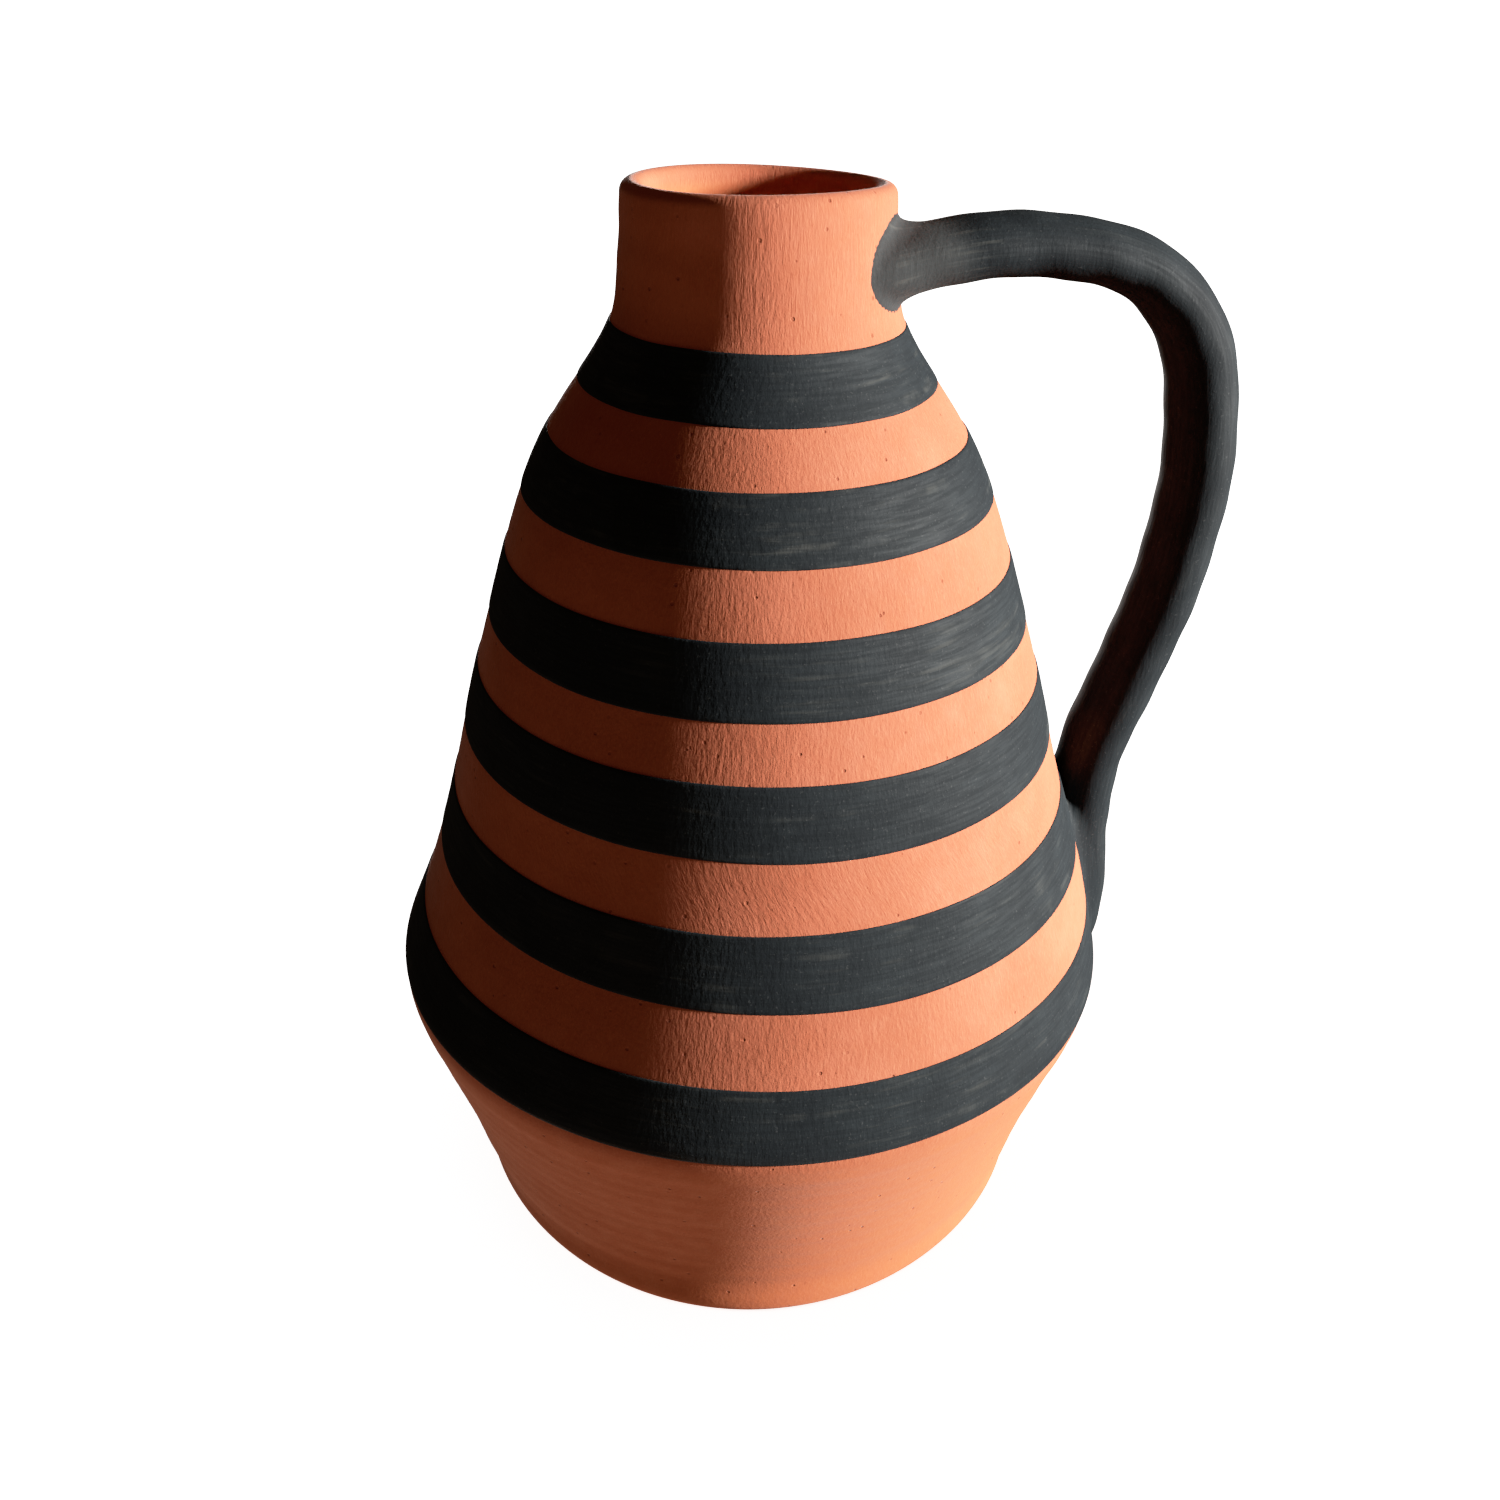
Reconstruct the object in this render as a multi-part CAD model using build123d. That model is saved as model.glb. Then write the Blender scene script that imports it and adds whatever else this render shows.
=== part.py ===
from build123d import *
import os

# Wheel-thrown terracotta pitcher with a pulled strap handle and six bands of black slip.
# Millimetres. The origin is the centre of the flat foot, +Z is up and +X points to the handle.

# ---------------------------------------------------------------- driving dimensions
HEIGHT = 270.0              # foot to the top of the lip
FOOT_RADIUS = 79.0
FOOT_ROUND = 3.0            # softened edge where the pot was cut from the wheel
BELLY_RADIUS = 97.6
BELLY_HEIGHT = 69.0         # height of the widest ring
SHOULDER_RADIUS = 56.6
SHOULDER_DROP = 67.5        # from the lip down to the shoulder
NECK_RADIUS = 34.0
NECK_LENGTH = 28.5          # from the lip down to the root of the neck
LIP_RADIUS = 30.6           # outside of the lip
LIP_WALL = 4.0              # thickness of the rounded lip
WALL = 5.5                  # thrown wall, measured level
FLOOR = 8.0                 # thickness of the bottom
FOOT_LEAN = (0.16, 1.0)     # direction in which the wall leaves the foot: outwards, up

SLIP_THICKNESS = 0.4        # brushed coat of black slip
BAND_WIDTHS = (17.9, 17.5, 16.6, 16.5, 14.3, 13.3)      # lowest band first, measured upright
BAND_GAPS = (17.8, 16.3, 13.3, 14.4, 11.3)              # bare clay between them
BAND_START = 2.0            # lowest band begins this far above the widest ring
BAND_STOP = 1.4             # highest band ends this far below the root of the neck

HANDLE_TURN = 11.0          # degrees that the handle's plane is turned about the upright
HANDLE_OFFSET = 14.6        # how far that plane passes beside the pot's axis
HANDLE_WIDE = 20.0          # across the plane
TOP_THICK = 13.4            # along the plane, over the top
GRIP_THICK = 16.4           # along the plane, at the outer bend and below it
HANDLE_REACH = 106.9        # middle of the grip at the outer bend, measured in the plane
HANDLE_RISE = 2.8           # how far the top climbs above the upper root
BEND_DROP = 68.0            # lip down to the outer bend
ROOT_DROP = 15.2            # lip to the middle of the upper root
ROOT_TALL = 22.0            # smeared collar of the upper root, upright
ROOT_WIDE = 21.0            # and across
ROOT_STEP = 1.0             # how far off the wall the collar is still nearly full
ROOT_STEP_TALL = 19.8
COLLAR_LENGTH = 8.0         # over which the collar narrows to the grip
COLLAR_THICK = 14.2         # and its thickness there
ROOT_DEPTH = 6.0            # how far the blank handle runs past the outer wall before it is cut

# Lower root, a tongue pressed on the wall: three heights, and at each of them how far the
# middle of the clay stands off the wall, its thickness along the plane and its width across
TAIL_HEIGHTS = (130.0, 108.0, 86.0)
TAIL_STANDS = (13.4, 5.6, 2.3)
TAIL_THICKS = (16.2, 16.0, 12.0)
TAIL_WIDES = (20.0, 17.0, 14.0)
TIP_THICK = 6.0             # the blank tongue's tip, inside the wall
TIP_WIDE = 9.0
TIP_DROP = 24.0             # and how far it is below the last of those heights

# Shape of the thrown wall between two of the rings above: share of the height, share of the width
BOWL_SWELL = ((0.26, 0.18), (0.57, 0.49), (0.86, 0.84))
BODY_SWELL = ((0.06, 0.04), (0.16, 0.14), (0.29, 0.285), (0.44, 0.435), (0.62, 0.595), (0.81, 0.785))
SHOULDER_SWELL = ((0.30, 0.255), (0.60, 0.59), (0.86, 0.885))
NECK_SWELL = ((0.17, 0.32), (0.55, 0.70))
# Shape of the handle between the upper root, the outer bend and the lower root: the same shares
OVER_TOP = ((0.0, 0.37), (0.043, 0.61), (0.194, 0.81), (0.482, 0.944))
DOWN_SIDE = ((0.39, 0.18), (0.72, 0.59))

shoulder_z = HEIGHT - SHOULDER_DROP
neck_z = HEIGHT - NECK_LENGTH
lip_z = HEIGHT - LIP_WALL / 2
handle_plane = Plane(
    origin=Vector(0, -HANDLE_OFFSET, 0).rotate(Axis.Z, HANDLE_TURN),
    x_dir=Vector(1, 0, 0).rotate(Axis.Z, HANDLE_TURN),
    z_dir=Vector(0, -1, 0).rotate(Axis.Z, HANDLE_TURN),
)


# ---------------------------------------------------------------- wall outline
def between(start, end, swell):
    """Points (out, up) from one place towards the next, without the last place itself."""
    points = [start]
    for rise, draw in swell:
        out = start[0] + draw * (end[0] - start[0])
        up = start[1] + rise * (end[1] - start[1])
        points.append((out, up))
    return points


def wall_line(inset, bottom, lip_inset):
    """The wall's outline, moved level towards the axis, from the height bottom to the lip."""
    foot = (FOOT_RADIUS - inset, bottom)
    belly = (BELLY_RADIUS - inset, BELLY_HEIGHT)
    shoulder = (SHOULDER_RADIUS - inset, shoulder_z)
    neck = (NECK_RADIUS - inset, neck_z)
    lip = (LIP_RADIUS - lip_inset, lip_z)
    bowl = between(foot, belly, BOWL_SWELL) + [belly]
    upper = between(belly, shoulder, BODY_SWELL) + between(shoulder, neck, SHOULDER_SWELL)
    upper += between(neck, lip, NECK_SWELL) + [lip]
    return [
        Spline(*bowl, tangents=[FOOT_LEAN, (0, 1)]),
        Spline(*upper, tangents=[(0, 1), (0, 1)]),
    ]


def closed_face(lines):
    """The flat face between a wall outline and the pot's axis."""
    foot = lines[0] @ 0
    lip = lines[-1] @ 1
    return make_face(Wire(lines + [
        Line(lip, (0, lip.Y)),
        Line((0, lip.Y), (0, foot.Y)),
        Line((0, foot.Y), foot),
    ]))


def turned(face):
    """The solid that a flat face makes when it is turned about the pot's axis."""
    return revolve(Plane.XZ * face, Axis.Z)


outer_lines = wall_line(0, 0, 0)
outer_foot = outer_lines[0] @ 0
outer_lip = outer_lines[1] @ 1
inner_lines = wall_line(WALL, FLOOR, LIP_WALL)
inner_foot = inner_lines[0] @ 0
inner_lip = inner_lines[1] @ 1


def wall_radius(height):
    """Outside radius of the wall at a height above the foot."""
    line = outer_lines[0] if height < BELLY_HEIGHT else outer_lines[1]
    low, high = 0.0, 1.0
    for _ in range(40):
        middle = (low + high) / 2
        if (line @ middle).Y < height:
            low = middle
        else:
            high = middle
    return (line @ low).X


# ---------------------------------------------------------------- vessel
lip_crown = ((outer_lip.X + inner_lip.X) / 2, HEIGHT)
lip_round = ThreePointArc(outer_lip, lip_crown, inner_lip)
vessel_body = turned(make_face(Wire(outer_lines + [lip_round] + inner_lines[::-1] + [
    Line(inner_foot, (0, FLOOR)),
    Line((0, FLOOR), (0, 0)),
    Line((0, 0), outer_foot),
])))
foot_edge = vessel_body.edges().filter_by(GeomType.CIRCLE).filter_by_position(Axis.Z, -0.1, 0.1)
vessel_body = fillet(foot_edge, FOOT_ROUND)

# The pot without its hollow, which the handle's roots are cut to
solid_pot = turned(closed_face(outer_lines))


# ---------------------------------------------------------------- handle
def on_wall(height, stand):
    """The place in the handle's plane that stands that far off the outer wall at a height."""
    beside = (wall_radius(height) ** 2 - HANDLE_OFFSET ** 2) ** 0.5
    return (beside + stand, height)


root_z = HEIGHT - ROOT_DROP
top_z = root_z + HANDLE_RISE
bend = (HANDLE_REACH, HEIGHT - BEND_DROP)
tail = [on_wall(height, stand) for height, stand in zip(TAIL_HEIGHTS, TAIL_STANDS)]

# Stations along the handle: place in its plane, thickness along the plane, width across it
over_top = between((on_wall(root_z, 0)[0], top_z), bend, OVER_TOP)[1:]
over_top_thicks = (TOP_THICK, TOP_THICK, (TOP_THICK + GRIP_THICK) / 2, GRIP_THICK)
stations = [
    (on_wall(root_z, -ROOT_DEPTH), ROOT_TALL, ROOT_WIDE),
    (on_wall(root_z, ROOT_STEP), ROOT_STEP_TALL, ROOT_WIDE),
    ((on_wall(root_z, COLLAR_LENGTH)[0], (root_z + top_z) / 2), COLLAR_THICK, HANDLE_WIDE),
]
stations += [(place, thick, HANDLE_WIDE) for place, thick in zip(over_top, over_top_thicks)]
stations += [(place, GRIP_THICK, HANDLE_WIDE) for place in between(bend, tail[0], DOWN_SIDE)]
stations += list(zip(tail, TAIL_THICKS, TAIL_WIDES))
stations.append((on_wall(TAIL_HEIGHTS[-1] - TIP_DROP, -ROOT_DEPTH), TIP_THICK, TIP_WIDE))

handle_path = handle_plane * Spline(*[place for place, thick, wide in stations])
sections = []
for place, thick, wide in stations:
    at = handle_path.param_at_point(handle_plane.from_local_coords(Vector(*place)))
    across = Plane(origin=handle_path @ at, x_dir=handle_plane.z_dir, z_dir=handle_path % at)
    sections.append(across * Ellipse(wide / 2, thick / 2))
handle_blank = loft(sections)
handle = handle_blank - solid_pot


# ---------------------------------------------------------------- black slip bands
coat_lines = wall_line(-SLIP_THICKNESS, 0, -SLIP_THICKNESS)
coat_face = closed_face(coat_lines) - closed_face(outer_lines)

zone_start = BELLY_HEIGHT + BAND_START
zone_length = neck_z - BAND_STOP - zone_start
stretch = zone_length / (sum(BAND_WIDTHS) + sum(BAND_GAPS))
slip_bands = []
band_foot = zone_start
for width, gap in zip(BAND_WIDTHS, BAND_GAPS + (0.0,)):
    belt_height = width * stretch
    belt = Pos(0, band_foot) * Rectangle(HEIGHT, belt_height, align=(Align.MIN, Align.MIN))
    slip_bands.append(turned(coat_face & belt) - handle_blank)
    band_foot += belt_height + gap * stretch

# ---------------------------------------------------------------- parts
nodes = {"vessel_body": vessel_body, "handle": handle}
for number, band in enumerate(reversed(slip_bands), start=1):
    nodes[f"slip_band_{number}"] = band

os.makedirs("parts", exist_ok=True)
for name, shape in nodes.items():
    export_step(shape, f"parts/{name}.step")
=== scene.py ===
"""A terracotta pitcher: thrown on the wheel, scraped, banded with black slip and given a pulled handle.

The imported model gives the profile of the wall, the heights of the bands and the size of the whole, and the
handle's line is set here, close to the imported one. Each visible piece is a surface worked out on a grid of
two parameters: the angle round the axis and the way along a profile, or the way along the handle and round
it.
"""

import math

import bpy
import numpy as np
from bpy.props import FloatProperty, FloatVectorProperty, PointerProperty
from mathutils import Matrix, Vector


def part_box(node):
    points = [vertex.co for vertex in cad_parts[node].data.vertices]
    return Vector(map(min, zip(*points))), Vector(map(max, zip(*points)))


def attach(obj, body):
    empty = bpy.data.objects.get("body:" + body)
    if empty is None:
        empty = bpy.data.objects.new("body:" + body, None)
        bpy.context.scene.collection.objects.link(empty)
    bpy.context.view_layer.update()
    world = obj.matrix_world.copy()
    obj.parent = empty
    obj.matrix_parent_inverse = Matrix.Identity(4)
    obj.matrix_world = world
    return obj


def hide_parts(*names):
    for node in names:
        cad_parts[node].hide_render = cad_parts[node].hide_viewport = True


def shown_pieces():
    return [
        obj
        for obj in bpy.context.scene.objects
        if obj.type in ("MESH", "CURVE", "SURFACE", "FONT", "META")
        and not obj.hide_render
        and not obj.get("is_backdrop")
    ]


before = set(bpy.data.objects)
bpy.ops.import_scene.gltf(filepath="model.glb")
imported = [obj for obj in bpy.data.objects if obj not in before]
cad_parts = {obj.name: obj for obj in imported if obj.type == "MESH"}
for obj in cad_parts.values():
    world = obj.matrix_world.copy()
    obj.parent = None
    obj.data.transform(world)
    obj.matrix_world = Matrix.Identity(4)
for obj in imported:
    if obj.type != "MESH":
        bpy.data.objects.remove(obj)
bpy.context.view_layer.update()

bl_info = {
    "name": "Banded terracotta pitcher",
    "version": (1, 0, 0),
    "blender": (4, 5, 0),
    "location": "3D View > Sidebar > Pitcher",
    "description": "Builds a thrown pitcher with slip bands and a pulled handle over its packed model",
    "category": "Add Mesh",
}

MM = 0.001
TURN = 2 * math.pi

# ---------------------------------------------------------------- the pot's own unevenness, in millimetres
# Where the wall was left slightly in or out of its smooth curve: (height, swell, reach up and down).
SWELLS = ((17, 0.3, 9), (50, 0.6, 9), (65, -0.7, 5), (90, -0.4, 10), (235, -0.5, 14), (263, 0.5, 6))
# How far the axis stands to the right at each height: the leaning of a hand-thrown pot.
LEAN = (
    (0, 0.7),
    (12, 0.3),
    (28, 0.0),
    (50, -0.3),
    (66, -0.2),
    (76, 0.4),
    (90, 1.5),
    (130, 1.0),
    (160, 0.4),
    (215, -0.7),
    (270, -1.4),
)
# The slip bands, neck first: how far the brush drifted down at the right of each lower and upper edge.
BAND_DRIFTS = ((0.1, 0.2), (0.2, 0.1), (0.3, 0.2), (0.7, 0.3), (0.8, 0.3), (0.4, 0.2))
# The handle's middle line in its own upright plane, and its section: out, up, thickness, width.
HANDLE = (
    (14.0, 251.4, 14.8, 20.0),
    (24.0, 253.7, 14.6, 20.0),
    (33.0, 255.8, 14.0, 20.0),
    (48.0, 257.8, 13.6, 20.0),
    (66.0, 257.3, 13.4, 20.0),
    (80.0, 254.2, 13.5, 20.0),
    (91.5, 247.7, 14.4, 20.0),
    (99.8, 237.4, 15.6, 20.0),
    (104.6, 223.6, 16.3, 20.0),
    (106.9, 203.0, 16.5, 20.0),
    (105.6, 183.5, 16.4, 20.0),
    (102.2, 166.5, 16.4, 20.0),
    (97.0, 148.6, 16.2, 20.0),
    (91.4, 130.0, 16.0, 20.0),
    (90.0, 112.0, 15.6, 18.0),
    (91.6, 98.0, 14.2, 16.5),
    (94.2, 86.0, 12.2, 15.0),
    (95.8, 76.0, 9.4, 13.0),
    (96.4, 67.0, 6.4, 10.5),
    (94.6, 59.0, 3.6, 7.0),
)
# The handle's plane: its turn from the pot's right towards the back, and its distance in front of the axis.
HANDLE_TURN = math.radians(11)
HANDLE_OFFSET = 14.6 * MM

# ---------------------------------------------------------------- other sizes, in metres
FOOT_HOLLOW = 0.9 * MM
INNER_COVE = 9 * MM
INNER_RING_DEPTH, INNER_RING_PITCH = 0.25 * MM, 7.5 * MM
# How far down from the rim the lip grows to the wall, the inner rings set in and the rim's wave dies out.
LIP_BLEND, RING_BLEND, WAVE_BLEND = 14 * MM, 25 * MM, 30 * MM
# The heights between which the throwing rings fade, the scraping begins and the foot's lobes fade.
RINGS_FADE = (55 * MM, 75 * MM)
SCRAPING_BEGINS = (64 * MM, 74 * MM)
LOBES_FADE = (3 * MM, 20 * MM)
LOBE_TURN = math.radians(94)
# Above this height a point of the handle belongs to its root, and between these two its tail spreads wider.
ROOT_ABOVE = 180 * MM
TAIL_WIDENS = (104 * MM, 126 * MM)
TAIL_END = 5 * MM


def linear(hex_colour):
    """The linear colour of an sRGB value: each channel is ((c + 0.055) / 1.055) ** 2.4, or c / 12.92 if
    dark."""
    channels = np.array([int(hex_colour[i : i + 2], 16) for i in (1, 3, 5)]) / 255
    bright = ((channels + 0.055) / 1.055) ** 2.4
    return tuple(float(c) for c in np.where(channels < 0.04045, channels / 12.92, bright))


# ---------------------------------------------------------------- settings
def length(name, description, millimetres):
    """A length setting, given in millimetres and kept in metres."""
    default = millimetres * MM
    return FloatProperty(name=name, description=description, default=default, unit="LENGTH", precision=5)


def colour(name, description, hex_colour):
    """A colour setting, given as an sRGB hex value and kept linear."""
    default = linear(hex_colour)
    return FloatVectorProperty(name=name, description=description, default=default, subtype="COLOR", size=3)


def bearing(name, description, degrees):
    """An angle setting, given in degrees and kept in radians."""
    default = math.radians(degrees)
    return FloatProperty(name=name, description=description, default=default, unit="ROTATION")


def power(name, description, watts):
    """The power of a light, in watts."""
    return FloatProperty(name=name, description=description, default=watts, unit="POWER")


class PitcherShape(bpy.types.PropertyGroup):
    wall: length("Wall", "Thickness of the thrown wall, measured level", 5.5)
    floor: length("Floor", "Thickness of the clay under the hollow", 8.0)
    lip: length("Lip", "Thickness of the rounded lip", 5.2)
    foot_round: length("Foot rounding", "Radius of the wiped edge of the foot", 3.0)
    ring_depth: length("Ring depth", "How far the throwing rings stand in and out", 0.05)
    ring_pitch: length("Ring pitch", "Rise of the throwing spiral in one turn", 5.2)
    wobble: length("Wobble", "How far the wall is out of round", 0.25)
    foot_lobes: length("Foot lobes", "How far the foot was pushed out of round as it was lifted off", 1.3)
    slip: length("Slip", "Thickness of the brushed slip", 0.3)
    joint_spread: length("Joint spread", "How far the handle's root spreads up and down the neck", 2.8)
    joint_reach: length("Joint reach", "How far along the handle the spread of its root begins", 6.5)
    tail_round: length("Tail rounding", "Radius of the clay smoothed from the tail on to the belly", 2.2)


class PitcherFinish(bpy.types.PropertyGroup):
    clay: colour("Clay", "Scraped terracotta", "#cd765a")
    clay_dark: colour("Dark clay", "Deeper patches of the scraped terracotta", "#bf6b4f")
    clay_bowl: colour("Bowl clay", "Smooth thrown terracotta of the bowl and the inside", "#cd734c")
    slip: colour("Slip", "Black slip where it is thick", "#23292d")
    slip_thin: colour("Thin slip", "Black slip where the brush left it thin", "#2f363a")
    floor: colour("Floor", "The pale studio floor", "#fbfbfa")


class PitcherLight(bpy.types.PropertyGroup):
    key_turn: bearing("Key turn", "Way round from the camera to the key light", 78)
    key_rise: bearing("Key rise", "Height of the key light above level", 15)
    key_power: power("Key", "Power of the key light", 58)
    bounce_power: power("Bounce", "Power of the light sent up from the floor", 10)
    back_power: power("Back", "Power of the light behind the pot", 30)
    wash_power: power("Wash", "Power of the light on the floor alone", 60)


# ---------------------------------------------------------------- curves and grids
# Angles go round the axis from the pot's right, by way of its back. A grid's rows are heights or places along
# the handle, and its columns go round.
def curve_through(knots, values, at):
    """A natural cubic spline through (knots, values), read at `at`.

    The bend at each knot solves one set of linear equations: the slopes of neighbouring stretches agree at
    the knot, and the two ends are straight. Each stretch is then a cubic between its two values and two
    bends.
    """
    knots, values, at = np.asarray(knots, float), np.asarray(values, float), np.asarray(at, float)
    step, count = np.diff(knots), len(knots)
    matrix, right = np.eye(count), np.zeros((count,) + values.shape[1:])
    inner = np.arange(1, count - 1)
    matrix[inner, inner - 1], matrix[inner, inner + 1] = step[:-1], step[1:]
    matrix[inner, inner] = 2 * (step[:-1] + step[1:])
    slope = (np.diff(values, axis=0).T / step).T
    right[inner] = 6 * np.diff(slope, axis=0)
    bend = np.linalg.solve(matrix, right)
    i = np.clip(np.searchsorted(knots, at) - 1, 0, count - 2)
    a, b, h = knots[i + 1] - at, at - knots[i], step[i]
    if values.ndim > 1:
        a, b, h = a[..., None], b[..., None], h[..., None]
    return (
        (bend[i] * a**3 + bend[i + 1] * b**3) / (6 * h)
        + (values[i] / h - bend[i] * h / 6) * a
        + (values[i + 1] / h - bend[i + 1] * h / 6) * b
    )


def eased(low, high, at):
    """0 below low, 1 above high and 3t² - 2t³ between."""
    t = np.clip((at - low) / (high - low), 0, 1)
    return t * t * (3 - 2 * t)


def traced_wall():
    """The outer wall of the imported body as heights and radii.

    The corners of the faces that look away from the axis give one mean radius for each height. The rounded
    edges of the foot and the lip are left out, and so is a ring too close to the one below it.
    """
    looks_away, foot_edge, lip_edge, closest = 0.3, 3.2 * MM, 4 * MM, 0.4 * MM
    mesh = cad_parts["vessel_body"].data
    points = np.empty(len(mesh.vertices) * 3)
    mesh.vertices.foreach_get("co", points)
    points = points.reshape(-1, 3)
    corners = np.empty(len(mesh.loops), int)
    mesh.loops.foreach_get("vertex_index", corners)
    faces = points[corners.reshape(-1, 3)]
    normals = np.cross(faces[:, 1] - faces[:, 0], faces[:, 2] - faces[:, 0])
    middles = faces.mean(axis=1)
    outward = np.einsum("ij,ij->i", normals[:, :2], middles[:, :2])
    outward /= np.linalg.norm(normals, axis=1) * np.linalg.norm(middles[:, :2], axis=1) + 1e-12
    rings = faces[outward > looks_away].reshape(-1, 3)
    heights, which = np.unique(np.round(rings[:, 2], 5), return_inverse=True)
    radii = np.bincount(which.ravel(), np.hypot(rings[:, 0], rings[:, 1])) / np.bincount(which.ravel())
    keep = (heights > foot_edge) & (heights < rings[:, 2].max() - lip_edge)
    keep[1:] &= np.diff(heights) > closest
    return heights[keep], radii[keep]


WALL_HEIGHTS, WALL_RADII = traced_wall()
POT_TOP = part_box("vessel_body")[1].z


def wall_radius(height):
    """The smooth wall's radius at a height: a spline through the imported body's rings, plus a bell-shaped
    swell, size * exp(-(distance / reach)^2), for each of SWELLS."""
    held = np.clip(height, WALL_HEIGHTS[0], WALL_HEIGHTS[-1])
    radius = curve_through(WALL_HEIGHTS, WALL_RADII, held)
    for centre, swell, reach in SWELLS:
        radius = radius + swell * MM * np.exp(-(((height / MM - centre) / reach) ** 2))
    return radius


def wall_normal(height, tiny):
    """The level and the upward part of the wall's outward normal, from its radius `tiny` above and below."""
    slope = (wall_radius(height + tiny) - wall_radius(height - tiny)) / (2 * tiny)
    return 1 / np.hypot(1, slope), -slope / np.hypot(1, slope)


def lean(height):
    """How far the axis stands to the right at a height: a spline through LEAN."""
    knots = np.array(LEAN) * MM
    return curve_through(knots[:, 0], knots[:, 1], height)


def hand_marks(shape, angle, height):
    """How far the wall stands proud of its smooth curve.

    The throwing spiral is a sine that climbs one pitch in each turn, with a longer and fainter one over
    it, four times as deep on the bowl as above. A slow wobble has two and three waves round, which drift
    as it rises. The foot, lifted off the wheel while still damp, has three soft lobes.
    """
    pitch = shape.ring_pitch
    spiral = np.sin(TURN * height / pitch - angle) + 0.5 * np.sin(TURN * height / (2.7 * pitch) - angle)
    strength = 0.25 + 0.75 * (1 - eased(*RINGS_FADE, height))
    wobble = np.cos(2 * angle + 0.8 + 9 * height) + 0.6 * np.cos(3 * angle + 2.1 - 14 * height)
    foot = shape.foot_lobes * (np.cos(3 * (angle + LOBE_TURN)) - 0.3) * (1 - eased(*LOBES_FADE, height))
    return shape.ring_depth * strength * spiral + 0.5 * shape.wobble * wobble + foot


def wall_point(shape, angle, height, proud=0.0):
    """A point on the outer wall: the radius at that height with its hand marks, moved `proud` along the
    outward normal of the profile, about the leaning axis."""
    level, upward = wall_normal(height, 0.05 * MM)
    radius = wall_radius(height) + hand_marks(shape, angle, height) + proud * level
    x, y = radius * np.cos(angle) + lean(height), radius * np.sin(angle)
    return np.stack([x, y, height + proud * upward + 0 * angle], axis=-1)


def surface(name, grid, ring_closed=False, poles=()):
    """A mesh whose corners are a grid of points (rows, columns, 3).

    Neighbouring corners make four-sided faces, and the last column joins the first. With ring_closed the last
    row joins the first row as well. Otherwise the two poles close the first and the last row with fans.
    """
    rows, columns = grid.shape[:2]
    row = np.arange(rows if ring_closed else rows - 1)[:, None]
    column = np.arange(columns)[None, :]
    here, above = row * columns, (row + 1) % rows * columns
    after = (column + 1) % columns
    quads = np.stack([here + column, here + after, above + after, above + column], axis=-1).reshape(-1, 4)
    points, faces = grid.reshape(-1, 3), quads.tolist()
    if poles:
        first = len(points)
        points = np.concatenate([points, np.array(poles)])
        edge, after = np.arange(columns), (np.arange(columns) + 1) % columns
        last_row = (rows - 1) * columns
        faces += np.stack([np.full(columns, first), after, edge], axis=-1).tolist()
        faces += np.stack([np.full(columns, first + 1), last_row + edge, last_row + after], axis=-1).tolist()
    mesh = bpy.data.meshes.new(name)
    mesh.from_pydata(points, [], faces)
    mesh.shade_smooth()
    piece = bpy.data.objects.new(name, mesh)
    bpy.context.scene.collection.objects.link(piece)
    return piece


def paint(piece, name, values):
    """Keeps one number or one vector for each corner of a piece, for its material to read."""
    kind, field = ("FLOAT", "value") if values.ndim == 1 else ("FLOAT_VECTOR", "vector")
    attribute = piece.data.attributes.new(name, kind, "POINT")
    attribute.data.foreach_set(field, values.astype(np.float32).ravel())


def finish_piece(piece, material, nodes):
    """Gives a piece its material, hangs it on the body it rides on and hides the imported nodes it stands
    for.
    """
    piece.data.materials.append(material)
    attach(piece, "root")
    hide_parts(*nodes)


# ---------------------------------------------------------------- materials
def add(tree, kind, sockets=None, **settings):
    """Adds one node: `settings` are its own choices, and `sockets` gives its inputs a value or a link."""
    node = tree.nodes.new(kind)
    for key, value in settings.items():
        setattr(node, key, value)
    for key, value in (sockets or {}).items():
        if isinstance(value, bpy.types.NodeSocket):
            tree.links.new(value, node.inputs[key])
        else:
            node.inputs[key].default_value = value
    return node


def new_material(name):
    """An empty node material with its Principled shader already joined to the output."""
    material = bpy.data.materials.new(name)
    material.use_nodes = True
    tree = material.node_tree
    tree.nodes.clear()
    shader = add(tree, "ShaderNodeBsdfPrincipled")
    add(tree, "ShaderNodeOutputMaterial", {"Surface": shader.outputs[0]})
    return material, tree, shader


def millimetres(tree, stretch=(1, 1, 1)):
    """Object coordinates in millimetres, stretched by a share along each axis."""
    place = add(tree, "ShaderNodeTexCoord").outputs["Object"]
    scaled = tuple(share / MM for share in stretch)
    return add(tree, "ShaderNodeVectorMath", {0: place, 1: scaled}, operation="MULTIPLY").outputs[0]


def noise(tree, vector, spacing, detail=2.0, roughness=0.5):
    """Cloudy noise from 0 to 1 whose lumps are `spacing` millimetres apart."""
    sockets = {"Vector": vector, "Scale": 1 / spacing, "Detail": detail, "Roughness": roughness}
    return add(tree, "ShaderNodeTexNoise", sockets).outputs[0]


def ramp(tree, value, low, high, out_low=0.0, out_high=1.0):
    """A value between low and high carried smoothly to between out_low and out_high."""
    sockets = {0: value, 1: low, 2: high, 3: out_low, 4: out_high}
    return add(tree, "ShaderNodeMapRange", sockets, interpolation_type="SMOOTHSTEP").outputs[0]


def maths(tree, operation, a, b=0.0):
    """One sum, product or other two-value step."""
    return add(tree, "ShaderNodeMath", {0: a, 1: b}, operation=operation).outputs[0]


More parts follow.
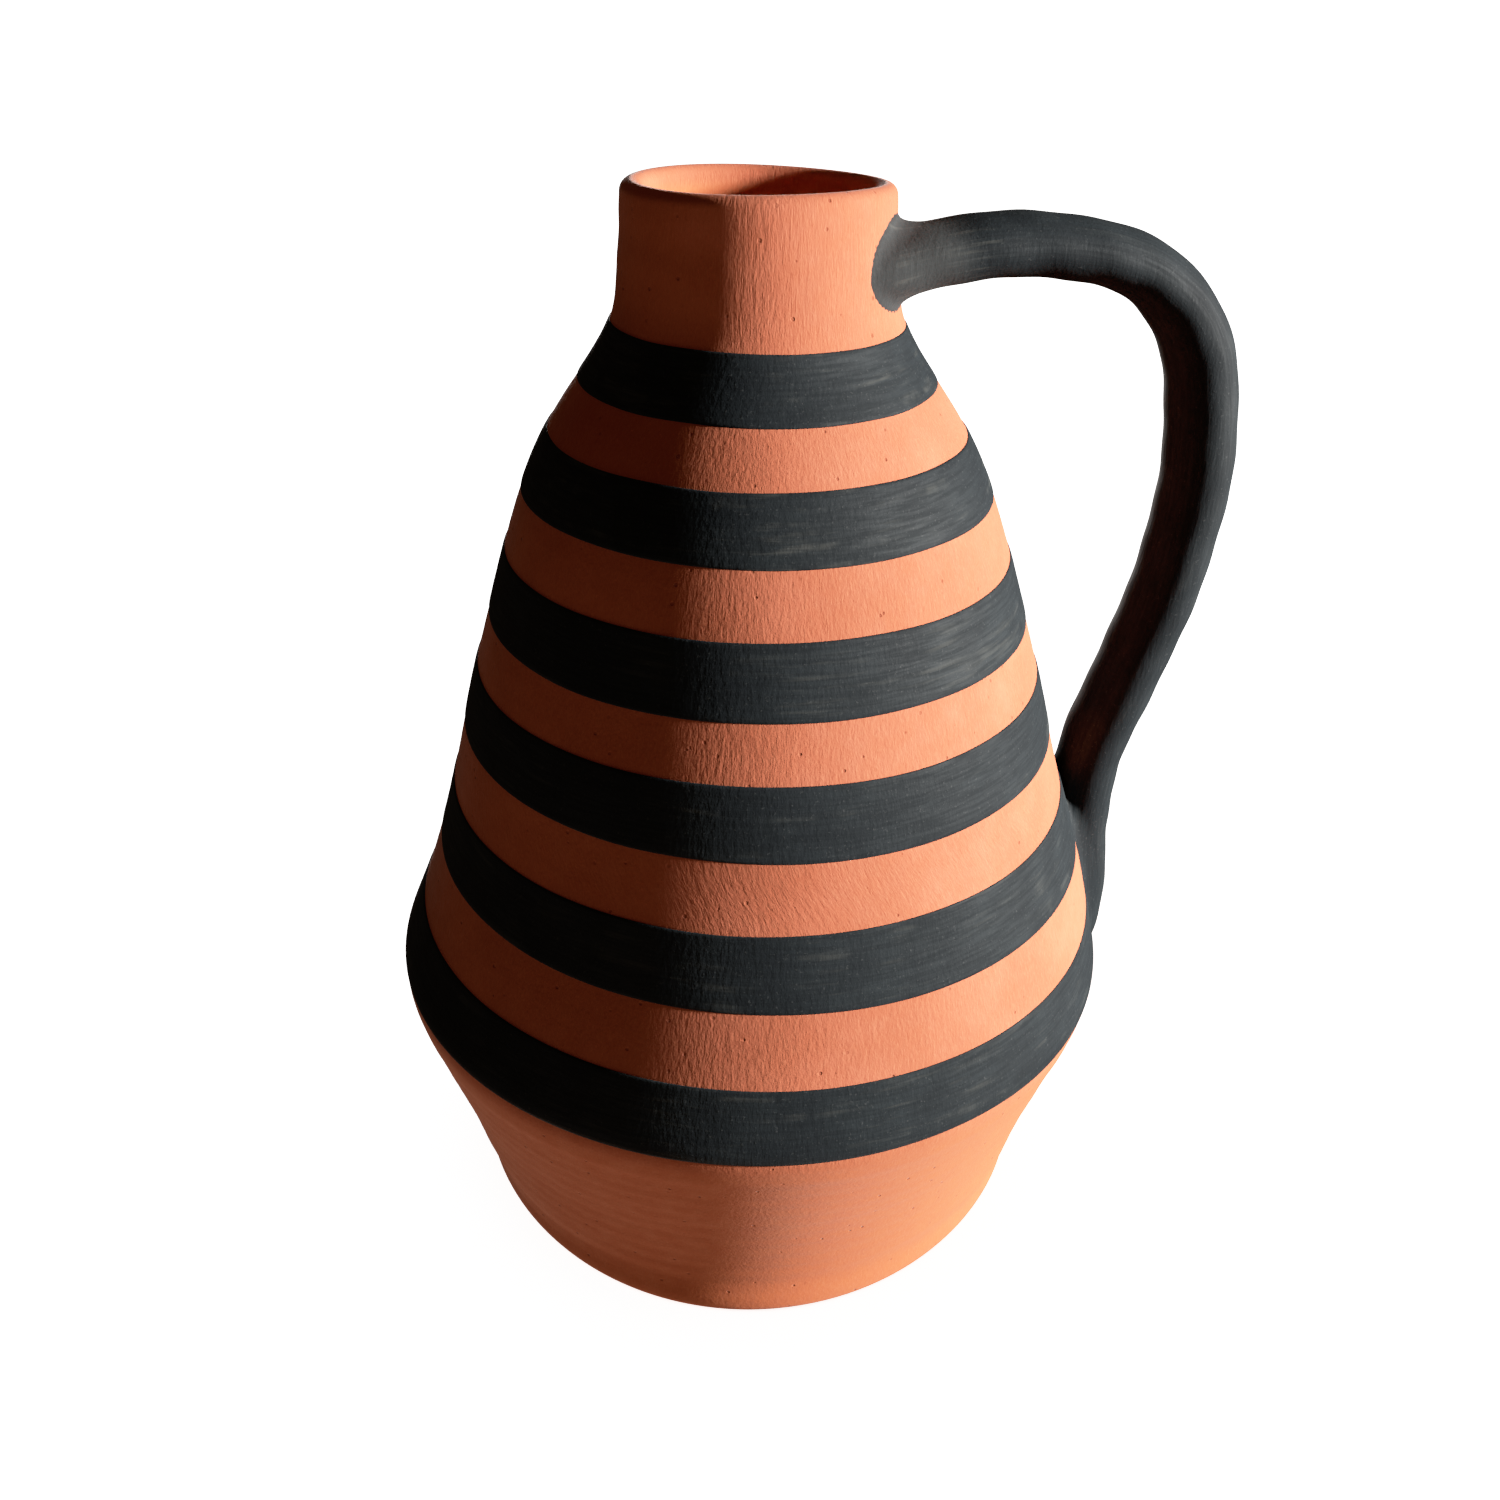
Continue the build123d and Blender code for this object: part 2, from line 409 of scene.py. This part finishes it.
def blended(tree, share, a, b):
    """Two colours mixed by a share."""
    a, b = [c if isinstance(c, bpy.types.NodeSocket) else (*c, 1.0) for c in (a, b)]
    return add(tree, "ShaderNodeMix", {0: share, 6: a, 7: b}, data_type="RGBA").outputs[2]


def bumped(tree, height, depth_mm, under=None):
    """A bump whose full height stands depth_mm, over another bump or over the bare surface."""
    sockets = {"Height": height, "Distance": depth_mm * MM, "Strength": 1.0}
    if under is not None:
        sockets["Normal"] = under
    return add(tree, "ShaderNodeBump", sockets).outputs[0]


def scraped_terracotta(finish):
    """Unglazed earthenware, thrown and then scraped with a rib while leather-hard: dry and matt, so that
    the eye sees upright tool marks and small pits where light grazes it. The bowl and the inside were only
    wiped on the wheel, so they are smoother, more orange and faintly ringed."""
    # The last of these colours is painted shade, laid in the pits.
    clouded, rubbed, gritty, painted_pit_shade = map(linear, ("#c46d50", "#da8a69", "#9a5139", "#6e3421"))
    mark_depth, grit_depth, pit_spacing = 0.16, 0.08, 3.4
    material, tree, shader = new_material("terracotta_thrown_and_scraped")
    place = millimetres(tree)
    strokes = add(tree, "ShaderNodeAttribute", attribute_name="strokes").outputs["Vector"]
    scraped = add(tree, "ShaderNodeAttribute", attribute_name="scraped").outputs["Fac"]
    level = millimetres(tree, (0.03, 0.03, 1))

    coarse_marks = noise(tree, strokes, 0.95, 3, 0.65)
    fine_marks = noise(tree, strokes, 0.4, 2, 0.6)
    grit = noise(tree, place, 0.9, 3, 0.6)
    wheel_lines = noise(tree, level, 1.6, 3, 0.6)

    cells = add(tree, "ShaderNodeTexVoronoi", {"Vector": place, "Scale": 1 / pit_spacing, "Randomness": 1.0})
    chosen = add(tree, "ShaderNodeSeparateColor", {0: cells.outputs["Color"]}).outputs[0]
    middle = ramp(tree, cells.outputs["Distance"], 0.07, 0.17, 1, 0)
    pit = maths(tree, "MULTIPLY", middle, ramp(tree, chosen, 0.6, 0.85))

    patches = noise(tree, place, 26, 3, 0.55)
    clouds = noise(tree, place, 5, 3, 0.6)
    upper = blended(tree, ramp(tree, patches, 0.35, 0.65), finish.clay_dark, finish.clay)
    body = blended(tree, scraped, finish.clay_bowl, upper)
    body = blended(tree, ramp(tree, clouds, 0.3, 0.7, 0.0, 0.35), body, clouded)
    body = blended(tree, ramp(tree, fine_marks, 0.45, 0.7, 0.0, 0.22), body, rubbed)
    body = blended(tree, ramp(tree, grit, 0.6, 0.72, 0.0, 0.22), body, gritty)
    # The pits are painted darker here, as painted shade in the recesses, over the dent that the bump gives
    # them.
    body = blended(tree, maths(tree, "MULTIPLY", pit, 0.42), body, painted_pit_shade)

    marks = maths(tree, "ADD", coarse_marks, maths(tree, "MULTIPLY", fine_marks, 0.35))
    marks = maths(tree, "MULTIPLY", marks, ramp(tree, scraped, 0, 1, 0.08, 1.0))
    rings = maths(tree, "MULTIPLY", wheel_lines, ramp(tree, scraped, 0, 1, 0.22, 0.05))
    relief = maths(tree, "SUBTRACT", maths(tree, "ADD", marks, rings), pit)
    normal = bumped(tree, grit, grit_depth, bumped(tree, relief, mark_depth))

    tree.links.new(body, shader.inputs["Base Color"])
    tree.links.new(ramp(tree, clouds, 0.3, 0.7, 0.82, 0.95), shader.inputs["Roughness"])
    tree.links.new(normal, shader.inputs["Normal"])
    shader.inputs["Diffuse Roughness"].default_value = 0.15
    shader.inputs["IOR"].default_value = 1.45
    shader.inputs["Specular IOR Level"].default_value = 0.25
    shader.inputs["Sheen Weight"].default_value = 0.12
    shader.inputs["Sheen Roughness"].default_value = 0.35
    return material


def brushed_slip(finish):
    """Black clay slip, brushed on and burnished a little by handling: denser and smoother than the bare clay,
    with long brush streaks, chalky smudges where it dried thin, and the scraped clay still faint beneath."""
    streaked, smudged, dusted, gritty = map(linear, ("#171c20", "#62635f", "#6c6e6e", "#5c5f60"))
    relief_depth = 0.1
    material, tree, shader = new_material("black_slip_brushed")
    place = millimetres(tree)
    strokes = add(tree, "ShaderNodeAttribute", attribute_name="strokes").outputs["Vector"]
    dusty = add(tree, "ShaderNodeAttribute", attribute_name="dusty").outputs["Fac"]
    streaks = noise(tree, strokes, 0.8, 3, 0.6)
    sweeps = noise(tree, strokes, 2.0, 3, 0.65)
    grit = noise(tree, place, 0.7, 3, 0.6)
    scrapes = noise(tree, millimetres(tree, (1, 1, 0.2)), 1.1, 2, 0.55)
    patches = noise(tree, place, 14, 3, 0.6)

    body = blended(tree, ramp(tree, patches, 0.35, 0.7, 0.0, 0.55), finish.slip, finish.slip_thin)
    body = blended(tree, ramp(tree, streaks, 0.38, 0.62, 0.0, 0.42), body, streaked)
    smudge = maths(tree, "MULTIPLY", ramp(tree, sweeps, 0.5, 0.72), ramp(tree, patches, 0.42, 0.62))
    body = blended(tree, maths(tree, "MULTIPLY", smudge, dusty), body, smudged)
    body = blended(tree, ramp(tree, dusty, 0.45, 1.0, 0.0, 0.42), body, dusted)
    body = blended(tree, ramp(tree, grit, 0.6, 0.74, 0.0, 0.4), body, gritty)

    relief = maths(tree, "ADD", maths(tree, "MULTIPLY", streaks, 0.4), maths(tree, "MULTIPLY", grit, 0.5))
    relief = maths(tree, "ADD", relief, scrapes)
    tree.links.new(body, shader.inputs["Base Color"])
    tree.links.new(ramp(tree, streaks, 0.3, 0.7, 0.66, 0.78), shader.inputs["Roughness"])
    tree.links.new(bumped(tree, relief, relief_depth), shader.inputs["Normal"])
    shader.inputs["Diffuse Roughness"].default_value = 0.5
    shader.inputs["IOR"].default_value = 1.5
    shader.inputs["Specular IOR Level"].default_value = 0.18
    return material


def once(name, maker, finish):
    """The material of that name, made the first time that it is asked for."""
    return bpy.data.materials.get(name) or maker(finish)


# ---------------------------------------------------------------- the pieces
def upright_strokes(points):
    """Coordinates in millimetres along which upright tool marks run.

    Round the pot they advance with the square root of the radius, true at 60 mm. Up the pot they advance at
    about a quarter of the real rate, so that the marks are long. About 132 mm up the marks lean over.
    """
    true_radius, slowed, lean_angle, lean_height, lean_reach = 60.0, 0.24, 0.06, 132, 9
    x, y, z = (points / MM).T
    radius = np.maximum(np.hypot(x, y), 1)
    angle = np.arctan2(y, x) + lean_angle * np.tanh((z - lean_height) / lean_reach)
    reach = np.sqrt(radius * true_radius)
    return np.stack([reach * np.cos(angle), reach * np.sin(angle), slowed * z], axis=-1)


class OBJECT_OT_pitcher_vessel(bpy.types.Operator):
    """Throws the pot: foot, bowl, belly, shoulder, neck and lip, and the hollow inside"""

    bl_idname = "pitcher.vessel"
    bl_label = "Thrown pot"

    def inward(self, ring, away, inset, height):
        """Rows of points that lie `inset` nearer to the axis than the points of a ring, at given heights."""
        rows = np.empty((len(inset), *ring.shape))
        rows[..., :2] = ring[:, :2] - inset[..., None] * away
        rows[..., 2] = height
        return rows

    def inside(self, shape, angle, away, top):
        """The hollow, from the lip down: the outer wall moved in by the wall's thickness and faint rings, a
        quarter circle at the bottom, and a level floor that shrinks towards the axis."""
        low = shape.floor + INNER_COVE
        height = np.linspace(top - shape.lip / 2, low, 92)[1:, None]
        wall = shape.lip + (shape.wall - shape.lip) * eased(0, LIP_BLEND, top - height)
        rings = INNER_RING_DEPTH * np.sin(TURN * height / INNER_RING_PITCH + angle)
        inner = wall_point(shape, angle, height)
        inner[..., :2] -= (wall + rings * eased(0, RING_BLEND, top - height))[..., None] * away
        turn = np.linspace(0, math.pi / 2, 11)[1:, None]
        inset, rise = INNER_COVE * (1 - np.cos(turn)), INNER_COVE * (1 - np.sin(turn))
        cove = self.inward(inner[-1], away, inset, shape.floor + rise)
        ground = cove[-1:] * np.linspace(0.94, 0.06, 12)[:, None, None]
        ground[..., 2] = shape.floor
        return np.concatenate([inner, cove, ground])

    def execute(self, context):
        """The grid runs from the middle of the foot out, up the wall, over the lip and down the inside."""
        shape, finish = context.scene.pitcher_shape, context.scene.pitcher_finish
        columns = 280
        angle = np.arange(columns)[None, :] * TURN / columns
        away = np.stack([np.cos(angle[0]), np.sin(angle[0])], axis=-1)
        top, bead = POT_TOP, shape.lip / 2

        outer = wall_point(shape, angle, np.linspace(shape.foot_round, top - bead, 205)[:, None])
        turn = np.linspace(0, math.pi / 2, 9)[:-1, None]
        inset, rise = shape.foot_round * (1 - np.sin(turn)), shape.foot_round * (1 - np.cos(turn))
        foot = self.inward(outer[0], away, inset, rise)
        share = np.linspace(0.06, 0.96, 14)[:, None, None]
        base = foot[:1] * share
        base[..., 2] = FOOT_HOLLOW * (1 - eased(0.72, 0.86, share[..., 0]))

        turn = np.linspace(0, math.pi, 15)[1:, None]
        lip = self.inward(outer[-1], away, bead * (1 - np.cos(turn)), top - bead + bead * np.sin(turn))

        grid = np.concatenate([base, foot, outer, lip, self.inside(shape, angle, away, top)])
        wave = MM * (0.5 * np.cos(angle + math.pi / 2) + 0.3 * np.cos(2 * angle - math.radians(260)))
        grid[..., 2] += wave * eased(top - WAVE_BLEND, top, grid[..., 2])
        poles = ((0, 0, FOOT_HOLLOW), (0, 0, shape.floor))
        piece = surface("thrown_pot", grid, poles=poles)

        scraped = np.zeros(len(grid))
        first = len(base) + len(foot)
        outside = slice(first, first + len(outer) + len(lip))
        scraped[outside] = eased(*SCRAPING_BEGINS, grid[outside, :, 2].mean(axis=1))
        paint(piece, "scraped", np.append(np.repeat(scraped, columns), (0, 0)))
        paint(piece, "strokes", upright_strokes(np.concatenate([grid.reshape(-1, 3), np.array(poles)])))
        material = once("terracotta_thrown_and_scraped", scraped_terracotta, finish)
        finish_piece(piece, material, ["vessel_body"])
        return {"FINISHED"}


class OBJECT_OT_pitcher_bands(bpy.types.Operator):
    """Brushes the six bands of black slip round the pot"""

    bl_idname = "pitcher.bands"
    bl_label = "Slip bands"

    def band(self, shape, number, drifts):
        """One thin closed skin: the brushed face follows the wall and thins to almost nothing at its two
        edges, as the fourth root of 1 - s⁸ for s from -1 to 1 across it, and its back lies just inside the
        clay. Each edge wanders as the brush did: five waves round the pot, of random size and turn, and a
        drift to one side."""
        drift_turn, face_clear, back_depth = math.radians(25), 0.02 * MM, 0.2 * MM
        low, high = (corner.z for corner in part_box(f"slip_band_{number}"))
        columns = 300
        angle = np.arange(columns)[None, :] * TURN / columns
        random = np.random.default_rng(number)

        def edge(height, drift):
            waves = 0
            for count in (2, 3, 5, 8, 13):
                size = random.uniform(0.05, 0.16) / (1 + 0.25 * count)
                waves = waves + size * np.cos(count * angle + random.uniform(0, TURN))
            return height + MM * (waves - drift * np.cos(angle + drift_turn))

        bottom, top = edge(low, drifts[0]), edge(high, drifts[1])
        across = np.sin(np.linspace(-1, 1, 17) * math.pi / 2)[:, None]
        height = (bottom + top) / 2 + across * (top - bottom) / 2
        proud = shape.slip * (1 - across**8) ** 0.25 + face_clear
        face = wall_point(shape, angle, height, proud)
        back_across = np.linspace(0.985, -0.985, 6)[:, None]
        back_height = (bottom + top) / 2 + back_across * (top - bottom) / 2
        grid = np.concatenate([face, wall_point(shape, angle, back_height, -back_depth)])
        piece = surface(f"brushed_band_{number}", grid, ring_closed=True)
        points = grid.reshape(-1, 3) / MM
        along, apart = (0.07, 0.07, 1.0), (31.0 * number, 0, 0)
        paint(piece, "strokes", points * along + apart)
        paint(piece, "dusty", np.full(len(points), 0.42 if number < 3 else 0.24))
        return piece

    def execute(self, context):
        shape, finish = context.scene.pitcher_shape, context.scene.pitcher_finish
        material = once("black_slip_brushed", brushed_slip, finish)
        for number, drifts in enumerate(BAND_DRIFTS, start=1):
            piece = self.band(shape, number, drifts)
            finish_piece(piece, material, [f"slip_band_{number}"])
        return {"FINISHED"}


class OBJECT_OT_pitcher_handle(bpy.types.Operator):
    """Pulls the handle and smooths its two ends on to the pot"""

    bl_idname = "pitcher.handle"
    bl_label = "Pulled handle"

    def above_wall(self, points):
        """How far points stand off the outer wall, and the wall's outward normal there: the level distance
        past its radius, times the cosine of its slope."""
        height = np.clip(points[..., 2], 0, POT_TOP)
        level, upward = wall_normal(height, 0.5 * MM)
        x, y = points[..., 0] - lean(height), points[..., 1]
        far = np.hypot(x, y)
        normal = np.stack([x / far * level, y / far * level, upward], axis=-1)
        return (far - wall_radius(height)) * level, normal

    def smoothed_on(self, grid, spoke, spread, reach):
        """The clay smoothed on to the pot: a point nearer to the wall than the reach slides away from the
        handle along the wall, by spread * (1 - sqrt(1 - (1 - distance / reach)^2)), and keeps its distance
        from it. A point that would lie deeper in the clay than `buried` is brought back to that depth."""
        buried = 1.2 * MM
        off, normal = self.above_wall(grid)
        slide = spoke - np.einsum("...i,...i->...", spoke, normal)[..., None] * normal
        slide /= np.linalg.norm(slide, axis=-1)[..., None]
        near = np.clip(1 - off / reach, 0, 1)
        moved = grid + (spread * (1 - np.sqrt(1 - near**2)))[..., None] * slide
        now, normal = self.above_wall(moved)
        moved = moved + (off - now)[..., None] * normal
        off, normal = self.above_wall(moved)
        return moved + np.maximum(-buried - off, 0)[..., None] * normal

    def middle_line(self, rows):
        """Points spread evenly along the handle's middle line, with the direction that looks away from the
        pot, the thickness and the width at each: a spline through HANDLE, whose parameter is the way along
        the straight stretches between its points."""
        stations = np.array(HANDLE) * MM
        steps = np.hypot(*np.diff(stations[:, :2], axis=0).T)
        along = np.concatenate([[0], np.cumsum(steps)])
        at = np.linspace(0, along[-1], rows)
        out, up, thick, wide = curve_through(along, stations, at).T
        forward = np.stack([np.gradient(out, at), np.gradient(up, at)], axis=-1)
        forward /= np.linalg.norm(forward, axis=1)[:, None]
        ahead = np.array([math.cos(HANDLE_TURN), math.sin(HANDLE_TURN), 0])
        side = np.array([math.sin(HANDLE_TURN), -math.cos(HANDLE_TURN), 0])
        upright = np.array([0, 0, 1.0])
        middle = side * HANDLE_OFFSET + out[:, None] * ahead + up[:, None] * upright
        outward = -forward[:, 1, None] * ahead + forward[:, 0, None] * upright
        return at, up, thick, wide, middle, outward, side

    def execute(self, context):
        """The section is a superellipse, nearly an ellipse, with a soft ridge along its outside. Two faint
        waves run along and round it where fingers pulled it. Ridge and waves fade at both ends, and the
        tail's last stretch is rounded."""
        shape, finish = context.scene.pitcher_shape, context.scene.pitcher_finish
        at, up, thick, wide, middle, outward, side = self.middle_line(330)
        columns, power_of = 96, 2.06
        turn = np.arange(columns)[None, :] * TURN / columns
        way, end = at[:, None], at[-1]
        c, s = np.cos(turn), np.sin(turn)
        fullness = (np.abs(c) ** power_of + np.abs(s) ** power_of) ** (-1 / power_of)
        from_outside = (turn + math.pi) % TURN - math.pi
        ridge = 0.35 * MM * np.exp(-(from_outside**2) / 0.12)
        pulls = np.sin(TURN * way / (31 * MM) + turn) + 0.7 * np.sin(TURN * way / (13 * MM) - 2 * turn)
        hand = 0.12 * MM * pulls
        fade = eased(0, 25 * MM, way) * (1 - eased(end - 40 * MM, end - 12 * MM, way))
        past = np.clip((way - (end - TAIL_END)) / TAIL_END, 0, 1)
        end_round = np.sqrt(np.clip(1 - past**2, 0.02, 1))
        half_thick = (thick[:, None] / 2 * fullness + hand * fade) * end_round
        half_wide = (wide[:, None] / 2 * fullness + hand * fade) * end_round
        spoke = (half_thick * c + ridge * fade)[..., None] * outward[:, None]
        spoke = spoke + (half_wide * s)[..., None] * side

        upright_share = 0.12 + 0.88 * c**2
        is_root = (up > ROOT_ABOVE)[:, None]
        widened = 1 + 1.3 * (1 - eased(*TAIL_WIDENS, up))[:, None]
        tail_round = shape.tail_round * widened * end_round
        spread = np.where(is_root, shape.joint_spread * upright_share, tail_round)
        reach = np.where(is_root, shape.joint_reach * upright_share, tail_round)
        grid = self.smoothed_on(middle[:, None] + spoke, spoke, spread, reach)

        piece = surface("pulled_handle", grid[:, ::-1], poles=(grid[0].mean(axis=0), grid[-1].mean(axis=0)))
        slowed = 0.07
        length_mm, turned = way / MM + 0 * turn, turn + 0 * way
        strokes = np.stack([slowed * length_mm, 8 * np.cos(turned), 10 * np.sin(turned)], axis=-1)[:, ::-1]
        ends = np.array([[0, 0, 0], [slowed * end / MM, 0, 0]])
        paint(piece, "strokes", np.concatenate([strokes.reshape(-1, 3), ends]))
        dust = 0.1 + 0.9 * (1 - eased(16 * MM, 42 * MM, way + 0 * turn))
        paint(piece, "dusty", np.append(dust, (0, 0)))
        finish_piece(piece, once("black_slip_brushed", brushed_slip, finish), ["handle"])
        return {"FINISHED"}


# ---------------------------------------------------------------- the studio
def area_light(name, place, aim, size, power, tint, receivers):
    """A square soft light at `place`, turned to `aim`, that falls on the receivers alone."""
    data = bpy.data.lights.new(name, "AREA")
    data.shape, data.size, data.energy, data.color = "SQUARE", size, power, tint
    lamp = bpy.data.objects.new(name, data)
    facing = (Vector(aim) - Vector(place)).to_track_quat("-Z", "Y")
    lamp.matrix_world = Matrix.Translation(place) @ facing.to_matrix().to_4x4()
    bpy.context.scene.collection.objects.link(lamp)
    lamp.light_linking.receiver_collection = receivers


class OBJECT_OT_pitcher_stage(bpy.types.Operator):
    """Sets the pale floor, the soft lights and the camera"""

    bl_idname = "pitcher.stage"
    bl_label = "Studio"

    def cove(self, finish):
        """A round floor that curves up into a wall and closes overhead: a flat disc, a quarter circle and a
        dome. Only the camera sees it, and its glow grows from the pot outwards, so that it is evenly pale."""
        columns, flat, bend, dome = 96, 3, 1.5, 3
        angle = np.arange(columns)[None, :] * TURN / columns
        turn = np.linspace(0, math.pi / 2, 13)[:, None]
        flat_radius = np.linspace(0.05, flat, 12)[:, None]
        bend_radius, bend_height = flat + bend * np.sin(turn), bend * (1 - np.cos(turn))
        dome_radius, dome_height = (flat + bend) * np.cos(turn[1:-1]), bend + dome * np.sin(turn[1:-1])
        radius = np.concatenate([flat_radius, bend_radius[1:], dome_radius])
        height = np.concatenate([0 * flat_radius, bend_height[1:], dome_height])
        grid = np.stack([radius * np.cos(angle), radius * np.sin(angle), height + 0 * angle], axis=-1)
        piece = surface("studio_cove", grid[:, ::-1], poles=((0, 0, 0), (0, 0, bend + dome)))
        material = bpy.data.materials.new("pale_painted_floor")
        material.use_nodes = True
        tree = material.node_tree
        tree.nodes.clear()
        place = add(tree, "ShaderNodeTexCoord").outputs["Object"]
        away = add(tree, "ShaderNodeVectorMath", {0: place}, operation="LENGTH").outputs["Value"]
        strength = ramp(tree, away, 0.1, 0.8, 1.2, 1.75)
        glow = add(tree, "ShaderNodeEmission", {"Color": (*finish.floor, 1), "Strength": strength})
        paint_coat = add(tree, "ShaderNodeBsdfDiffuse", {"Color": (*finish.floor, 1)})
        both = add(tree, "ShaderNodeAddShader", {0: glow.outputs[0], 1: paint_coat.outputs[0]})
        add(tree, "ShaderNodeOutputMaterial", {"Surface": both.outputs[0]})
        piece.data.materials.append(material)
        piece.visible_diffuse = piece.visible_glossy = piece.visible_shadow = False
        piece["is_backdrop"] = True
        return piece

    def film(self, view):
        """The response of the film: a short toe that sinks the deepest shadows, then straight up to about
        half, then a soft shoulder, so that the floor reaches white at 1.6 times the light of a white
        sheet."""
        white = 1.6
        view.view_transform = "Standard"
        view.use_curve_mapping = True
        mapping = view.curve_mapping
        mapping.white_level = (white, white, white)
        curve = mapping.curves[3]
        toe = ((0.00625, 0.0032), (0.0125, 0.009), (0.025, 0.0215), (0.05, 0.048), (0.1, 0.1))
        shoulder = ((0.3, 0.305), (0.45, 0.45), (0.785, 0.735), (1.07, 0.875), (1.35, 0.97))
        for light, shown in toe + shoulder:
            curve.points.new(light / white, shown)
        mapping.update()

    def camera(self):
        """The camera stands in front and above, and looks down at the pot with a slight roll."""
        place = Vector((0, -0.3279, 0.3121))
        yaw, pitch, roll = math.radians(-0.136), math.radians(29.64), math.radians(1.161)
        level = Vector((math.sin(yaw), math.cos(yaw), 0))
        forward = level * math.cos(pitch) + Vector((0, 0, -1)) * math.sin(pitch)
        right = forward.cross(Vector((0, 0, 1))).normalized()
        above = right.cross(forward)
        tilted_right = right * math.cos(roll) + above * math.sin(roll)
        tilted_above = above * math.cos(roll) - right * math.sin(roll)
        data = bpy.data.cameras.new("camera")
        data.sensor_width, data.lens, data.clip_start = 36, 33.4, 0.01
        camera = bpy.data.objects.new("camera", data)
        turned = Matrix((tilted_right, tilted_above, -forward)).transposed().to_4x4()
        camera.matrix_world = Matrix.Translation(place) @ turned
        bpy.context.scene.collection.objects.link(camera)
        bpy.context.scene.camera = camera

    def execute(self, context):
        scene = context.scene
        finish, light = scene.pitcher_finish, scene.pitcher_light
        cove = self.cove(finish)
        floor_only = bpy.data.collections.new("lit_floor")
        floor_only.objects.link(cove)
        pot_only = bpy.data.collections.new("lit_pot")
        low_only = bpy.data.collections.new("lit_from_floor")
        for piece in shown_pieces():
            pot_only.objects.link(piece)
            if piece.name != "pulled_handle":
                low_only.objects.link(piece)

        aim, white = (0, 0, 0.14), (1, 1, 1)
        key_tint, bounce_tint, back_tint = (1.0, 0.97, 0.93), (1.0, 0.76, 0.62), (1.0, 0.97, 0.94)
        turn, rise, far = light.key_turn, light.key_rise, 1.3
        right, front = far * math.sin(turn) * math.cos(rise), far * math.cos(turn) * math.cos(rise)
        key = (right, -front, aim[2] + far * math.sin(rise))
        area_light("key", key, aim, 0.15, light.key_power, key_tint, pot_only)
        area_light("floor_bounce", (0, -0.2, -0.9), aim, 1.6, light.bounce_power, bounce_tint, low_only)
        area_light("back_fill", (-0.12, 1.6, 0.2), aim, 0.4, light.back_power, back_tint, pot_only)
        area_light("floor_wash", (0, 0, 2.2), (0, 0, 0), 2.5, light.wash_power, white, floor_only)

        world = bpy.data.worlds.new("studio_air")
        world.use_nodes = True
        air = world.node_tree.nodes["Background"].inputs
        air["Color"].default_value = (1.0, 0.66, 0.42, 1)
        air["Strength"].default_value = 0.056
        scene.world = world
        self.film(scene.view_settings)
        self.camera()
        return {"FINISHED"}


class VIEW3D_PT_pitcher(bpy.types.Panel):
    """Lists the steps that build the pitcher, and their settings"""

    bl_idname = "VIEW3D_PT_pitcher"
    bl_label = "Banded pitcher"
    bl_space_type = "VIEW_3D"
    bl_region_type = "UI"
    bl_category = "Pitcher"

    def draw(self, context):
        for operator in OPERATORS:
            self.layout.operator(operator.bl_idname)
        for group in SETTINGS:
            settings = getattr(context.scene, group)
            for name in settings.__annotations__:
                self.layout.prop(settings, name)


OPERATORS = (
    OBJECT_OT_pitcher_vessel,
    OBJECT_OT_pitcher_bands,
    OBJECT_OT_pitcher_handle,
    OBJECT_OT_pitcher_stage,
)
SETTINGS = {"pitcher_shape": PitcherShape, "pitcher_finish": PitcherFinish, "pitcher_light": PitcherLight}
CLASSES = (*SETTINGS.values(), *OPERATORS, VIEW3D_PT_pitcher)


def register():
    for cls in CLASSES:
        bpy.utils.register_class(cls)
    for name, group in SETTINGS.items():
        setattr(bpy.types.Scene, name, PointerProperty(type=group))


def unregister():
    for name in SETTINGS:
        delattr(bpy.types.Scene, name)
    for cls in reversed(CLASSES):
        bpy.utils.unregister_class(cls)


def main():
    """Registers the add-on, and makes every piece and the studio."""
    register()
    bpy.ops.pitcher.vessel()
    bpy.ops.pitcher.bands()
    bpy.ops.pitcher.handle()
    bpy.ops.pitcher.stage()


if __name__ == "__main__":
    main()
